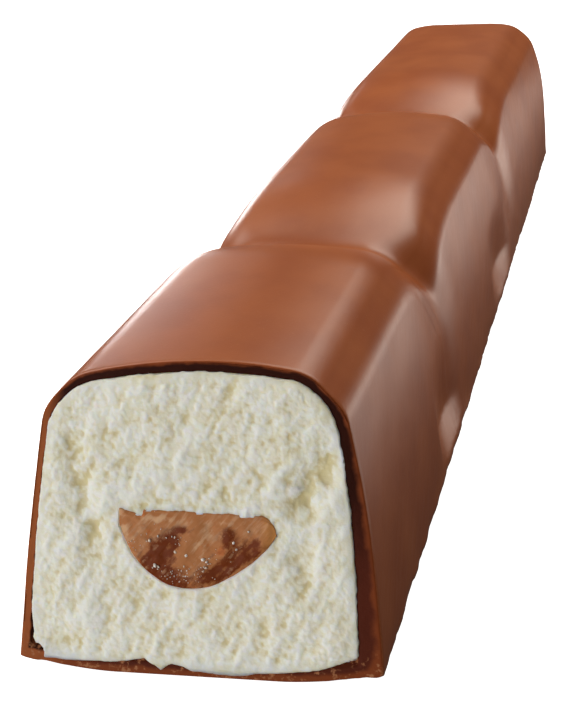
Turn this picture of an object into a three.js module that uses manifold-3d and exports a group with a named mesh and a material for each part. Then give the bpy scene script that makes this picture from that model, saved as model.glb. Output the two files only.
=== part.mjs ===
// An ice cream bar, cut across at its near end: a thin milk chocolate coating round a loaf of
// vanilla ice cream, with a half-moon strand of caramel running through the loaf.
// Millimetres, +Z up, the bar's length along +Y, the cut face at the -Y end. The bar lies on its
// flat underside, and the origin is under the middle of its bounding box.
import * as THREE from 'three';
import { ImprovedNoise } from 'three/addons/math/ImprovedNoise.js';
import { mergeVertices } from 'three/addons/utils/BufferGeometryUtils.js';
import Module from 'manifold-3d';

// ---------------------------------------------------------------------------- driving dimensions
const LENGTH = 126; // from the cut plane's foot on the centre line to the far end
const BASE_WIDTH = 26;
const TOP_WIDTH = 20; // between the virtual corners of the top and the walls
const HEIGHT = 21.1; // at the middle of a hump
const WALL_BULGE = 0.2; // how far a wall swells out at mid height
const CROWN = 2.5; // how much lower the top lies at its edges than on its centre line
const SHOULDER_RADIUS = 2.5;
const NEAR_HUMP_EXTRA = 0.9; // the cut hump leans out this much further on its left shoulder
const EDGE_LIFT = 0.8; // how far the underside rises at its edges
const FLAT_WIDTH = 12; // the flat strip of the underside that touches the table
const EDGE_CURVE = 1.6; // how late the underside starts to rise

const VALLEYS = [34.2, 73.9]; // the hollows between the humps, along the length
const VALLEY_DEPTH = 2.6;
const VALLEY_BACK = 8; // length of the steep drop behind a crest
const VALLEY_FRONT = 12; // length of the gentle rise of the next hump
const VALLEY_LEAN = 2.6; // the hollow runs this much further back at the foot of the walls
const CREASE = 0.12; // roundness of the hollow's bottom, as a share of those lengths
const WAIST = 0.5; // how far the walls pull in at a hollow, at their top
const FOOT_WAIST = 1.2; // and just above the foot
const WAIST_BACK = 9; // length over which a wall pulls in before a hollow
const WAIST_FRONT = 4.5; // length over which it comes out again
const FOOT_HEIGHT = 1.1; // the foot keeps its width where the walls pull in above it

const END_RADIUS = 10; // rounding of the far end seen from the side
const END_PLAN_RADIUS = 6; // rounding of the far end seen from above
const END_DRAFT = 0.15; // how far the end leans back for each millimetre of height
const END_REACH = 26; // length over which the end's rounding is taken up by the stations

const CUT_YAW = THREE.MathUtils.degToRad(8.5); // how far the cut face looks to the right
const CUT_LEAN = THREE.MathUtils.degToRad(20.5); // and how far it looks upwards
const CUT_REACH = 24; // length over which the stations turn parallel to the cut

// Thickness of the coating at the foot and the top of each wall, on top, below and at the end.
const COAT = { leftFoot: 0.75, leftTop: 0.6, rightFoot: 1.7, rightTop: 0.8, top: 0.7, bottom: 0.9, end: 1.3 };
const NO_COAT = { leftFoot: 0, leftTop: 0, rightFoot: 0, rightTop: 0, top: 0, bottom: 0, end: 0 };
const GAP = 0.3; // clearance between touching pieces
const CAVITY_OVERRUN = 4; // how far a cutting tool reaches out of the cut face

const CORE_WIDTH = 11;
const CORE_TOP = 11.3; // height of the strand's flat top above the table
const CORE_DEPTH = 5.1;
const CORE_EDGE = 1.1; // height of the strand's blunt side edges
const CORE_TILT = 0.028; // slope of its flat top, down to the right
const CORE_TAIL = 7; // ice cream between the strand's end and the bar's end
const CORE_SINK = 0.7; // how far the deepest point lies left of the centre line
const CORE_FULLNESS = 0.8; // 0.5 makes its belly an ellipse, 1 a parabola

const CRUMB = 0.42; // height of the ice cream's crumbly lumps on the cut face
const CRUMB_SIZE = 2.6; // their spacing
const GRAIN = 0.18; // roughness of the caramel's cut face
const GRAIN_SIZE = 1.5;
const CRUMB_SEED = 0.5;
const GRAIN_SEED = 7.5;

// Mesh density.
const SECTION_MESH = [14, 10]; // segments across and up
const ROUGH_FACE_MESH = [24, 20]; // segments across and up of the ice cream's cut face
const STRAND_MESH = [12, 3];
const STEEP_STEP = 2.8; // longest step between stations where the section changes fast
const END_STEP = 3.8; // longest step at the far end
const LEVEL_STEP = 7.5; // longest step along the humps

const wasm = await Module();
wasm.setup();
const noise = new ImprovedNoise();

// ------------------------------------------------------------------------------ form of the bar
const clamp01 = (t) => Math.min(Math.max(t, 0), 1);
const fade = (t) => (1 - clamp01(t)) ** 2 * (1 + 2 * clamp01(t)); // 1 at t = 0, level 0 from t = 1
const creased = (t) => (1 - clamp01(Math.hypot(t, CREASE) - CREASE)) ** 2; // steepest near t = 0
const quarterRound = (q) => 1 - Math.sqrt(1 - clamp01(q) ** 2);

/**
 * How deep in a hollow between two humps y lies: 0 on a hump, 1 at the bottom. before and after are
 * the lengths over which the hollow falls and rises again.
 */
function hollowAt(y, before, after) {
  let depth = 0;
  for (const valley of VALLEYS) {
    const offset = y - valley;
    depth += creased(offset / (offset < 0 ? before : after));
  }
  return depth;
}

/** The cut plane's y at a point of the section. */
function cutAt(x, z) {
  return x * Math.tan(CUT_YAW) + z * Math.tan(CUT_LEAN);
}

/** The far end's y at a point of the section. */
function endAt(x, z) {
  const halfWidth = THREE.MathUtils.lerp(BASE_WIDTH, TOP_WIDTH, z / HEIGHT) / 2;
  const sideRound = quarterRound((Math.abs(x) - (halfWidth - END_PLAN_RADIUS)) / END_PLAN_RADIUS);
  const topRound = quarterRound((z - (HEIGHT - END_RADIUS)) / END_RADIUS);
  return LENGTH - z * END_DRAFT - END_RADIUS * topRound - END_PLAN_RADIUS * sideRound;
}

/** Half the bar's width at height z on the left or right, inside a coat of the given thickness. */
function halfWidthAt(z, side, waist, coat) {
  const rise = clamp01(z / HEIGHT);
  const straight = THREE.MathUtils.lerp(BASE_WIDTH, TOP_WIDTH, rise) / 2;
  const bulge = WALL_BULGE * 4 * rise * (1 - rise);
  const aboveFoot = clamp01((z - FOOT_HEIGHT) / FOOT_HEIGHT);
  const pulledIn = waist * aboveFoot * THREE.MathUtils.lerp(FOOT_WAIST, WAIST, rise);
  const foot = side < 0 ? coat.leftFoot : coat.rightFoot;
  const top = side < 0 ? coat.leftTop : coat.rightTop;
  return straight + bulge - pulledIn - THREE.MathUtils.lerp(foot, top, rise);
}

/**
 * One point of the bar's section. across runs from -1, the left wall, to 1, the right wall, and up
 * from 0, the underside, to 1, the top.
 */
function sectionPoint(across, up, y, coat) {
  const leaned = y - VALLEY_LEAN * (1 - up);
  const waist = hollowAt(leaned, WAIST_BACK, WAIST_FRONT);
  const height = HEIGHT - VALLEY_DEPTH * hollowAt(leaned, VALLEY_BACK, VALLEY_FRONT) - coat.top;
  let z = THREE.MathUtils.lerp(coat.bottom, height, up);
  let x = across * halfWidthAt(z, across, waist, coat);

  // The shoulder: the square corner is drawn in to a round one.
  const radius = SHOULDER_RADIUS - coat.top / 2;
  const centreX = halfWidthAt(height, across, waist, coat) - radius;
  const centreZ = height - radius;
  const beyondX = Math.abs(x) - centreX;
  const beyondZ = z - centreZ;
  if (beyondX > 0 && beyondZ > 0) {
    const draw = Math.max(beyondX, beyondZ) / Math.hypot(beyondX, beyondZ);
    x = Math.sign(x) * (centreX + beyondX * draw);
    z = centreZ + beyondZ * draw;
  }

  const fromMiddle = Math.abs(x) / (BASE_WIDTH / 2);
  const beyondFlat = clamp01((Math.abs(x) - FLAT_WIDTH / 2) / (BASE_WIDTH / 2 - FLAT_WIDTH / 2));
  z += EDGE_LIFT * beyondFlat ** EDGE_CURVE * (1 - up) ** 2;
  z -= CROWN * fromMiddle ** 2 * (z / HEIGHT) ** 3;
  if (x < 0) {
    const onNearHump = fade((y - VALLEYS[0] + VALLEY_BACK / 4) / VALLEY_BACK);
    x -= NEAR_HUMP_EXTRA * onNearHump * (z / HEIGHT) * clamp01(-x / (TOP_WIDTH / 2));
  }
  return [x, z];
}

/** Spreads 0 to 1 so that steps are finer towards both ends. */
function easeEnds(t) {
  return 0.5 - 0.5 * Math.cos(Math.PI * t);
}

/** The places along the bar where its section is taken: close together in the hollows and the end. */
function barStations() {
  const stations = [0];
  const stepTo = (target, longest) => {
    const from = stations.at(-1);
    const steps = Math.ceil((target - from) / longest);
    for (let i = 1; i <= steps; i += 1) stations.push(THREE.MathUtils.lerp(from, target, i / steps));
  };
  for (const valley of VALLEYS) {
    stepTo(valley - VALLEY_BACK, LEVEL_STEP);
    stepTo(valley, STEEP_STEP);
    stepTo(valley + VALLEY_FRONT, STEEP_STEP);
  }
  stepTo(LENGTH - END_REACH, LEVEL_STEP);
  stepTo(LENGTH, END_STEP);
  return stations;
}

/**
 * A box with its faces divided, each vertex moved by place(across, up, station), where across runs
 * from -1 to 1 and up from 0 to 1. The vertices are shared, so the skin is closed.
 */
function shapedBox([segmentsAcross, segmentsUp], stations, place) {
  const segmentsAlong = stations.length - 1;
  const box = new THREE.BoxGeometry(2, 1, 1, segmentsAcross, segmentsAlong, segmentsUp);
  box.deleteAttribute('normal');
  box.deleteAttribute('uv');
  const merged = mergeVertices(box);
  const vertices = merged.getAttribute('position');
  for (let i = 0; i < vertices.count; i += 1) {
    const station = stations[Math.round((vertices.getY(i) + 0.5) * segmentsAlong)];
    vertices.setXYZ(i, ...place(vertices.getX(i), vertices.getZ(i) + 0.5, station));
  }
  return merged;
}

/** The bar's outline inside a coat, from the cut, or overrun in front of it, to its far end. */
function barSolid(coat, overrun = 0) {
  return shapedBox(SECTION_MESH, barStations(), (across, up, station) => {
    const easedAcross = easeEnds(across / 2 + 0.5) * 2 - 1;
    const easedUp = easeEnds(up);
    // The section shifts with the cut at the front and with the rounded end at the back, so its
    // humps are found at the place where the point ends up.
    let y = station;
    let x = 0;
    let z = 0;
    for (let pass = 0; pass < 3; pass += 1) {
      [x, z] = sectionPoint(easedAcross, easedUp, y, coat);
      const front = (cutAt(x, z) - overrun) * clamp01(1 - station / CUT_REACH);
      const back = (endAt(x, z) - coat.end - LENGTH) * clamp01(1 - (LENGTH - station) / END_REACH);
      y = station + front + back;
    }
    return [x, y, z];
  });
}

/** A block that fills everything behind a rough cut face. */
function roughBlock() {
  return shapedBox(ROUGH_FACE_MESH, [0, 2 * LENGTH], (across, up, station) => {
    const x = across * (BASE_WIDTH / 2);
    const z = up * HEIGHT;
    const lump = CRUMB * noise.noise(x / CRUMB_SIZE, z / CRUMB_SIZE, CRUMB_SEED);
    return [x, station + cutAt(x, z) - lump, z];
  });
}

/** The caramel strand, grown by a clearance all round, from the cut or overrun in front of it. */
function strandSolid(clearance, overrun = 0) {
  const tail = LENGTH - CORE_TAIL + clearance;
  return shapedBox(STRAND_MESH, [0, tail / 3, (2 * tail) / 3, tail], (across, up, station) => {
    const x = across * (CORE_WIDTH / 2 + clearance);
    const lean = across + (CORE_SINK / CORE_WIDTH) * 2 * (1 - across ** 2);
    const belly = (CORE_DEPTH - CORE_EDGE) * Math.max(1 - lean ** 2, 0) ** CORE_FULLNESS;
    const top = CORE_TOP + clearance - CORE_TILT * x;
    const bottom = top - 2 * clearance - CORE_EDGE - belly;
    const z = THREE.MathUtils.lerp(bottom, top, up);
    const grain = overrun > 0 ? 0 : GRAIN * noise.noise(x / GRAIN_SIZE, z / GRAIN_SIZE, GRAIN_SEED);
    const front = cutAt(x, z) - overrun - grain;
    return [x, THREE.MathUtils.lerp(front, tail, station / tail), z];
  });
}

// ------------------------------------------------------------------------------- joins and cuts
function toSolid(geometry) {
  const vertProperties = new Float32Array(geometry.getAttribute('position').array);
  const triVerts = new Uint32Array(geometry.index.array);
  return new wasm.Manifold(new wasm.Mesh({ numProp: 3, vertProperties, triVerts }));
}

function toGeometry(solid) {
  const { vertProperties, triVerts } = solid.getMesh();
  const geometry = new THREE.BufferGeometry();
  geometry.setAttribute('position', new THREE.BufferAttribute(vertProperties, 3));
  geometry.setIndex(new THREE.BufferAttribute(triVerts, 1));
  geometry.computeVertexNormals();
  return geometry;
}

function grownCoat(extra) {
  return Object.fromEntries(Object.entries(COAT).map(([place, thickness]) => [place, thickness + extra]));
}

// ---------------------------------------------------------------------------------- the pieces
function makeCoating() {
  const outside = toSolid(barSolid(NO_COAT));
  const cavity = toSolid(barSolid(COAT, CAVITY_OVERRUN));
  return toGeometry(outside.subtract(cavity));
}

function makeIceCream() {
  const loaf = toSolid(barSolid(grownCoat(GAP), CAVITY_OVERRUN));
  const channel = toSolid(strandSolid(GAP, CAVITY_OVERRUN));
  return toGeometry(loaf.intersect(toSolid(roughBlock())).subtract(channel));
}

function makeCore() {
  return toGeometry(toSolid(strandSolid(0)));
}

const chocolate = new THREE.MeshStandardMaterial({ color: 0x8a4a30, roughness: 0.38, metalness: 0 });
const iceCream = new THREE.MeshStandardMaterial({ color: 0xf3efdd, roughness: 0.9, metalness: 0 });
const caramel = new THREE.MeshStandardMaterial({ color: 0xa5673a, roughness: 0.5, metalness: 0 });

function namedMesh(name, geometry, material) {
  const mesh = new THREE.Mesh(geometry, material);
  mesh.name = name;
  return mesh;
}

const bar = new THREE.Group();
bar.add(namedMesh('chocolate_coating', makeCoating(), chocolate));
bar.add(namedMesh('ice_cream', makeIceCream(), iceCream));
bar.add(namedMesh('caramel_core', makeCore(), caramel));

// The bar is moved so that the origin lies under the middle of its bounding box.
const bounds = new THREE.Box3().setFromObject(bar);
const middle = bounds.getCenter(new THREE.Vector3());
for (const piece of bar.children) {
  piece.position.set(-middle.x, -middle.y, -bounds.min.z);
}

export default bar;
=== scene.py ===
"""An ice cream bar, cut across at its near end: milk chocolate, vanilla ice cream and a caramel core.

Metres, +Z up, the bar's length along +Y, the cut face at the -Y end. Each piece is shaped in the
bar's own coordinates, whose origin is the foot of the cut on the centre line, and is then moved
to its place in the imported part.
"""
import logging
import math
from dataclasses import asdict, dataclass
from enum import Enum

import bpy
import numpy as np
from mathutils import Matrix, Vector, noise


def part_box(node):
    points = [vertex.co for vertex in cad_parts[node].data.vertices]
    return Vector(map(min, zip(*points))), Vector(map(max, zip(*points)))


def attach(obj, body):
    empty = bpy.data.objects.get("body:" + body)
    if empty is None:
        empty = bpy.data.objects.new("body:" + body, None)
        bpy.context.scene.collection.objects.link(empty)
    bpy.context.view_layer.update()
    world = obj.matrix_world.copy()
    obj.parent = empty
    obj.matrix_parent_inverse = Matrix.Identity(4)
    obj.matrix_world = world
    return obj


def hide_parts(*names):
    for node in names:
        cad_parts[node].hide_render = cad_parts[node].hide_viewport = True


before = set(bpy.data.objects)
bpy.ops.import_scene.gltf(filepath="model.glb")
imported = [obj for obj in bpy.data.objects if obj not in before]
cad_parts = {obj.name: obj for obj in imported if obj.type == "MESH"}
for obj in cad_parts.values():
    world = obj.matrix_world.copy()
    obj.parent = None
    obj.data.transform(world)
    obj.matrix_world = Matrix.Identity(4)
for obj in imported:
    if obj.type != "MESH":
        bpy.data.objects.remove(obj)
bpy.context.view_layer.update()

MM = 0.001
SAME_PLACE = 0.001 * MM
LOG = logging.getLogger("ice_cream_bar")

Array = np.ndarray
Colour = tuple[float, float, float]
Triple = tuple[float, float, float]
Steps = tuple[int, ...]
Socket = bpy.types.NodeSocket


# ------------------------------------------------------------------------------- small formulas
def clamp01(t: Array | float) -> Array:
    """Cuts values off below 0 and above 1."""
    return np.clip(t, 0.0, 1.0)


def ramp(value: Array, start: float, end: float) -> Array:
    """Runs straight from 0 where a value is at start to 1 where it is at end."""
    return clamp01((value - start) / (end - start))


def fade(t: Array | float) -> Array:
    """Falls smoothly from 1 at t = 0 to a level 0 at t = 1."""
    return (1 - clamp01(t)) ** 2 * (1 + 2 * clamp01(t))


def lerp(a: Array | float, b: Array | float, t: Array | float) -> Array:
    """The value a share t of the way from a to b."""
    return a + (b - a) * t


def quarter_round(q: Array | float) -> Array:
    """How far a quarter circle falls back: 0 at q = 0 and 1 at q = 1."""
    return 1 - np.sqrt(1 - clamp01(q) ** 2)


def bell(t: Array | float) -> Array:
    """A soft bump, 1 at t = 0 and nearly 0 beyond t = 2."""
    return np.exp(-np.square(t))


def crowd_ends(t: Array, share: float) -> Array:
    """Spreads 0 to 1 closer together towards both ends: evenly at share 0, most at share 1."""
    return lerp(t, 0.5 - 0.5 * np.cos(np.pi * t), share)


def noise_at(points: Array, size: float, seed: float) -> Array:
    """Smooth noise at each point.

    Args:
        points: an (n, 3) array of places in metres.
        size: the length of the noise's bumps.
        seed: shifts the noise to another pattern.

    Returns:
        One value for each point, between about -1 and 1.
    """
    shifted = points / size + seed * np.array([17.3, -9.1, 31.7])
    return np.array([noise.noise(Vector(place)) for place in shifted])


@dataclass(frozen=True)
class Unevenness:
    """Smooth bumps: their spacing, their height and the number of their pattern."""

    spacing: float
    height: float
    seed: int

    def at(self, points: Array) -> Array:
        """How far the bumps reach at each point."""
        return self.height * noise_at(points, self.spacing, self.seed)


# -------------------------------------------------------------------------- the form of the bar
@dataclass(frozen=True)
class Coat:
    """Thickness of the chocolate at the foot and top of each wall, on top, below and at the end."""

    left_foot: float | Array = 0.0
    left_top: float | Array = 0.0
    right_foot: float | Array = 0.0
    right_top: float | Array = 0.0
    top: float | Array = 0.0
    bottom: float | Array = 0.0
    end: float | Array = 0.0

    def grown(self, extra: float | Array) -> "Coat":
        """A coat that is thicker by extra everywhere."""
        return Coat(**{place: thickness + extra for place, thickness in asdict(self).items()})


BARE = Coat()
CHOCOLATE_COAT = Coat(
    left_foot=0.75 * MM,
    left_top=0.6 * MM,
    right_foot=1.7 * MM,
    right_top=0.8 * MM,
    top=0.7 * MM,
    bottom=0.9 * MM,
    end=1.3 * MM,
)


@dataclass(frozen=True)
class BarForm:
    """The bar's outline: three humps, leaning walls, a slanting cut and a rounded far end.

    A point of the outline is named by three shares. Across runs from -1 on the left wall to 1 on
    the right one, up from 0 on the underside to 1 on top, and the station from 0 at the cut to
    the bar's length at the far end.
    """

    length: float = 126 * MM
    base_width: float = 26 * MM
    top_width: float = 20 * MM
    height: float = 21.1 * MM
    wall_bulge: float = 0.2 * MM
    far_bulge: float = 0.6 * MM
    crown: float = 2.5 * MM
    shoulder_radius: float = 2.9 * MM
    hollow_shade_rounding: float = 2 * MM
    right_turn_in: float = 0.45 * MM
    turn_in_blend: float = 1 / 9
    turn_in_from: float = 0.35
    turn_in_full: float = 0.85
    near_hump_extra: float = 0.9 * MM
    edge_lift: float = 0.8 * MM
    flat_width: float = 12 * MM
    edge_curve: float = 1.6
    valleys: tuple[float, ...] = (34.2 * MM, 73.9 * MM)
    valley_depth: float = 2.6 * MM
    valley_back: float = 8 * MM
    valley_front: float = 12 * MM
    valley_lean: float = 2.6 * MM
    crease: float = 0.12
    waist: float = 0.75 * MM
    waist_back: float = 9 * MM
    waist_front: float = 4.5 * MM
    foot_height: float = 1.1 * MM
    ledges: tuple[tuple[float, float], ...] = ((31.2 * MM, 5.5 * MM), (65 * MM, 7.5 * MM))
    ledge_width: float = 1.1 * MM
    ledge_height: float = 2.6 * MM
    ledge_rise: float = 9 * MM
    end_radius: float = 10 * MM
    end_plan_radius: float = 6 * MM
    end_foot_radius: float = 11 * MM
    end_draft: float = 0.15
    end_reach: float = 26 * MM
    cut_yaw: float = math.radians(8.5)
    cut_lean: float = math.radians(20.5)
    cut_reach: float = 24 * MM
    fitting_rounds: int = 3

    def place_in_part(self) -> Vector:
        """Where the bar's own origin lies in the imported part."""
        low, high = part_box("chocolate_coating")
        return Vector((high.x - self.base_width / 2, high.y - self.length, low.z))

    def cut_normal(self) -> Array:
        """The direction in which the cut face looks."""
        slope = np.array([math.tan(self.cut_yaw), -1.0, math.tan(self.cut_lean)])
        return slope / np.linalg.norm(slope)

    def cut_y(self, x: Array, z: Array) -> Array:
        """The cut plane's place along the bar, at a point of the section."""
        return x * math.tan(self.cut_yaw) + z * math.tan(self.cut_lean)

    def behind_cut(self, points: Array) -> Array:
        """How far each point lies behind the cut plane."""
        return -points @ self.cut_normal()

    def end_y(self, x: Array, z: Array) -> Array:
        """The far end's place along the bar.

        Args:
            x: places across the section.
            z: their heights.

        Returns:
            The end's y at each of them.
        """
        rise = clamp01(z / self.height)
        bulge = self.far_bulge * 4 * rise * (1 - rise)
        half_width = lerp(self.base_width, self.top_width, z / self.height) / 2 + bulge
        plan_radius = lerp(self.end_foot_radius, self.end_plan_radius, rise)
        side = (np.abs(x) - (half_width - plan_radius)) / plan_radius
        top = (z - (self.height - self.end_radius)) / self.end_radius
        back = self.end_radius * quarter_round(top) + plan_radius * quarter_round(side)
        return self.length - z * self.end_draft - back

    def hollow_shade_at(self, y: Array, before: float, after: float) -> Array:
        """How deep in a hollow between two humps each place lies.

        Args:
            y: places along the bar.
            before: length over which the hollow falls.
            after: length over which it rises again.

        Returns:
            0 on a hump and 1 at the bottom of a hollow.
        """
        depth = np.zeros_like(y)
        for valley in self.valleys:
            offset = y - valley
            share = offset / np.where(offset < 0, before, after)
            depth = depth + (1 - clamp01(np.hypot(share, self.crease) - self.crease)) ** 2
        return depth

    def ledge_at(self, y: Array, z: Array) -> Array:
        """How far the wall stands back above the lens-shaped ledges at its foot.

        Args:
            y: places along the bar.
            z: their heights.

        Returns:
            The distance, 0 away from the ledges.
        """
        lens = np.zeros_like(y)
        for middle, half_length in self.ledges:
            lens = lens + np.maximum(1 - ((y - middle) / half_length) ** 2, 0)
        above_foot = clamp01((z - self.foot_height / 2) / self.ledge_height)
        return self.ledge_width * lens * above_foot * fade((z - self.ledge_height) / self.ledge_rise)

    def half_width(self, z: Array, y: Array, across: Array, waist: Array, coat: Coat) -> Array:
        """Half the bar's width inside a coat.

        Args:
            z: heights.
            y: places along the bar.
            across: names the side, left where it is below 0.
            waist: how deep in a hollow between two humps each place lies.
            coat: what is taken off.

        Returns:
            The distance from the centre line to the wall.
        """
        rise = clamp01(z / self.height)
        straight = lerp(self.base_width, self.top_width, rise) / 2
        fullness = lerp(self.wall_bulge, self.far_bulge, clamp01(y / self.length))
        bulge = fullness * 4 * rise * (1 - rise)
        pulled_in = waist * self.waist * rise**0.5 + self.ledge_at(y, z)
        upper = np.maximum(rise - self.turn_in_from, 0) / (self.turn_in_full - self.turn_in_from)
        turned_in = self.right_turn_in * ramp(across, 0, self.turn_in_blend) * upper**2
        foot = np.where(across < 0, coat.left_foot, coat.right_foot)
        top = np.where(across < 0, coat.left_top, coat.right_top)
        return straight + bulge - pulled_in - turned_in - lerp(foot, top, rise)

    def section(self, across: Array, up: Array, y: Array, coat: Coat) -> tuple[Array, Array]:
        """Points of the bar's section.

        Args:
            across: the points' shares across.
            up: their shares up.
            y: their places along the bar.
            coat: what is taken off all round.

        Returns:
            The points' x and z.
        """
        leaned = y - self.valley_lean * (1 - up)
        waist = self.hollow_shade_at(leaned, self.waist_back, self.waist_front)
        dip = self.valley_depth * self.hollow_shade_at(leaned, self.valley_back, self.valley_front)
        height = self.height - dip - coat.top
        z = lerp(coat.bottom, height, up)
        half_width = self.half_width(z, y, across, waist, coat)
        top_half_width = self.half_width(height, y, across, waist, coat)
        radius = self.shoulder_radius - coat.top / 2 + self.hollow_shade_rounding * waist
        flare = half_width - top_half_width
        x, z = round_corner(across * half_width, z, (top_half_width, height), radius, flare)
        return self._settle(x, z, y, up)

    def _settle(self, x: Array, z: Array, y: Array, up: Array) -> tuple[Array, Array]:
        """Lifts the underside's edges, crowns the top and leans the near hump's left wall out.

        Args:
            x: places across the section.
            z: their heights.
            y: their places along the bar.
            up: their shares up.

        Returns:
            The new x and z.
        """
        half_base = self.base_width / 2
        half_flat = self.flat_width / 2
        beyond_flat = ramp(np.abs(x), half_flat, half_base)
        z = z + self.edge_lift * beyond_flat**self.edge_curve * (1 - up) ** 2
        z = z - self.crown * (np.abs(x) / half_base) ** 2 * (z / self.height) ** 3
        on_near_hump = fade((y - self.valleys[0] + self.valley_back / 4) / self.valley_back)
        lean_out = self.near_hump_extra * on_near_hump * (z / self.height)
        return x - lean_out * clamp01(-x / (self.top_width / 2)), z

    def place(self, across: Array, up: Array, station: Array, coat: Coat) -> Array:
        """Points of the bar inside a coat.

        Args:
            across: the points' shares across.
            up: their shares up.
            station: their stations, in metres.
            coat: what is taken off all round.

        Returns:
            An (n, 3) array of places.
        """
        y = station
        near = clamp01(1 - station / self.cut_reach)
        far = clamp01(1 - (self.length - station) / self.end_reach)
        for _ in range(self.fitting_rounds):
            x, z = self.section(across, up, y, coat)
            front = self.cut_y(x, z) * near
            back = (self.end_y(x, z) - coat.end - self.length) * far
            y = station + front + back
        return np.stack([x, y, z], axis=1)


def round_corner(
    x: Array, z: Array, corner: tuple[Array, Array], radius: Array, flare: Array
) -> tuple[Array, Array]:
    """Draws the square upper corners of a section in to round shoulders.

    Args:
        x: places across the section.
        z: their heights.
        corner: half the width at the top, and the height of the top.
        radius: the radius of the shoulders.
        flare: how much wider the section is at each place's height than at the top.

    Returns:
        The new x and z.
    """
    centre_x = corner[0] - radius
    centre_z = corner[1] - radius
    out = (np.abs(x) - centre_x) / (radius + flare)
    over = (z - centre_z) / radius
    beyond = (out > 0) & (over > 0)
    draw = np.maximum(out, over) / np.where(beyond, np.hypot(out, over), 1.0)
    round_x = centre_x + radius * out * draw + flare * out * (1 - over**2)
    round_z = centre_z + radius * over * draw
    return np.where(beyond, np.sign(x) * round_x, x), np.where(beyond, round_z, z)


@dataclass(frozen=True)
class StrandForm:
    """The half-moon strand of caramel that runs through the ice cream."""

    width: float = 11 * MM
    top: float = 11.3 * MM
    depth: float = 5.1 * MM
    edge: float = 1.1 * MM
    tilt: float = 0.028
    tail: float = 7 * MM
    sink: float = 0.7 * MM
    fullness: float = 0.8
    corner: float = 1.3 * MM
    notch_place: float = -3.9 * MM
    notch_depth: float = 0.35 * MM
    notch_width: float = 0.15 * MM

    def notch_at(self, x: Array) -> Array:
        """How far the top edge sinks towards the notch near its left end."""
        slope = ramp(x, -self.width / 2, self.notch_place)
        return self.notch_depth * slope * fade((x - self.notch_place) / self.notch_width)

    def place(self, bar: BarForm, across: Array, up: Array, share: Array, grown: float = 0) -> Array:
        """Points of the strand.

        Args:
            bar: the bar that it runs through.
            across: from -1 to 1.
            up: from 0, the belly, to 1, the flat top.
            share: from 0, the cut, to 1, the strand's hidden end.
            grown: clearance that is added all round.

        Returns:
            An (n, 3) array of places.
        """
        x = across * (self.width / 2 + grown)
        lean = across + 2 * self.sink / self.width * (1 - across**2)
        belly = (self.depth - self.edge) * np.maximum(1 - lean**2, 0) ** self.fullness
        top = self.top + grown - self.tilt * x
        bottom = top - 2 * grown - self.edge - belly
        top = top - self.corner * quarter_round((x - self.width / 2 + self.corner) / self.corner)
        top = top - self.notch_at(x)
        z = lerp(bottom, top, up)
        y = lerp(bar.cut_y(x, z), bar.length - self.tail + grown, share)
        return np.stack([x, y, z], axis=1)


# ---------------------------------------------------------------------------- modelling by hand
class Picking(Enum):
    """What a selection in edit mode is made of: switches for vertices, edges and faces."""

    EDGES = (False, True, False)
    FACES = (False, False, True)


class Axis(Enum):
    """The direction in which a blank's edges run."""

    ACROSS = 0
    ALONG = 1
    UP = 2


def take(piece: bpy.types.Object) -> None:
    """Makes a piece the only selected object and the active one, in object mode.

    Args:
        piece: the piece.
    """
    if bpy.context.object and bpy.context.object.mode != "OBJECT":
        bpy.ops.object.mode_set(mode="OBJECT")
    bpy.ops.object.select_all(action="DESELECT")
    piece.select_set(True)
    bpy.context.view_layer.objects.active = piece


def join(first: bpy.types.Object, others: list[bpy.types.Object], name: str) -> bpy.types.Object:
    """Joins pieces into one.

    Args:
        first: the piece that takes the others up.
        others: the pieces that are joined to it.
        name: the joined piece's name.

    Returns:
        The joined piece.
    """
    take(first)
    for piece in others:
        piece.select_set(True)
    bpy.ops.object.join()
    first.name = name
    first.data.name = name
    return first


def pick(piece: bpy.types.Object, kind: Picking, chosen: Array) -> None:
    """Opens a piece in edit mode with only some of its elements selected.

    Args:
        piece: the piece to edit.
        kind: whether edges or faces are chosen.
        chosen: a truth value for each of them.
    """
    take(piece)
    mesh = piece.data
    bpy.context.tool_settings.mesh_select_mode = kind.value
    for elements in (mesh.vertices, mesh.edges, mesh.polygons):
        elements.foreach_set("select", np.zeros(len(elements), bool))
    layer = {Picking.EDGES: mesh.edges, Picking.FACES: mesh.polygons}[kind]
    layer.foreach_set("select", chosen)
    bpy.ops.object.mode_set(mode="EDIT")


def shut(piece: bpy.types.Object) -> None:
    """Leaves edit mode and brings the piece's mesh up to date."""
    bpy.ops.object.mode_set(mode="OBJECT")
    piece.data.update()


def read_all(elements: bpy.types.bpy_prop_collection, name: str, width: int, kind: type) -> Array:
    """Reads one property of all of a mesh's vertices, edges, faces or corners.

    Args:
        elements: the collection of them.
        name: the property.
        width: how many numbers it holds.
        kind: the type of the numbers.

    Returns:
        A row of width numbers for each element.
    """
    values = np.empty(len(elements) * width, dtype=kind)
    elements.foreach_get(name, values)
    return values.reshape(-1, width)


def vertices_of(piece: bpy.types.Object) -> Array:
    """The places of a piece's vertices, as an (n, 3) array."""
    return read_all(piece.data.vertices, "co", 3, float)


def normals_of(piece: bpy.types.Object) -> Array:
    """The normals at a piece's vertices, as an (n, 3) array."""
    return read_all(piece.data.vertex_normals, "vector", 3, float)


def face_centres(piece: bpy.types.Object) -> Array:
    """The middle of each face, as an (n, 3) array."""
    return read_all(piece.data.polygons, "center", 3, float)


def edges_of(piece: bpy.types.Object) -> Array:
    """The vertex numbers at both ends of a piece's edges, as an (n, 2) array."""
    return read_all(piece.data.edges, "vertices", 2, np.int64)


def open_edges(piece: bpy.types.Object) -> Array:
    """Which edges border only one face."""
    corners = read_all(piece.data.loops, "edge_index", 1, np.int64).ravel()
    return np.bincount(corners, minlength=len(piece.data.edges)) == 1


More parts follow.
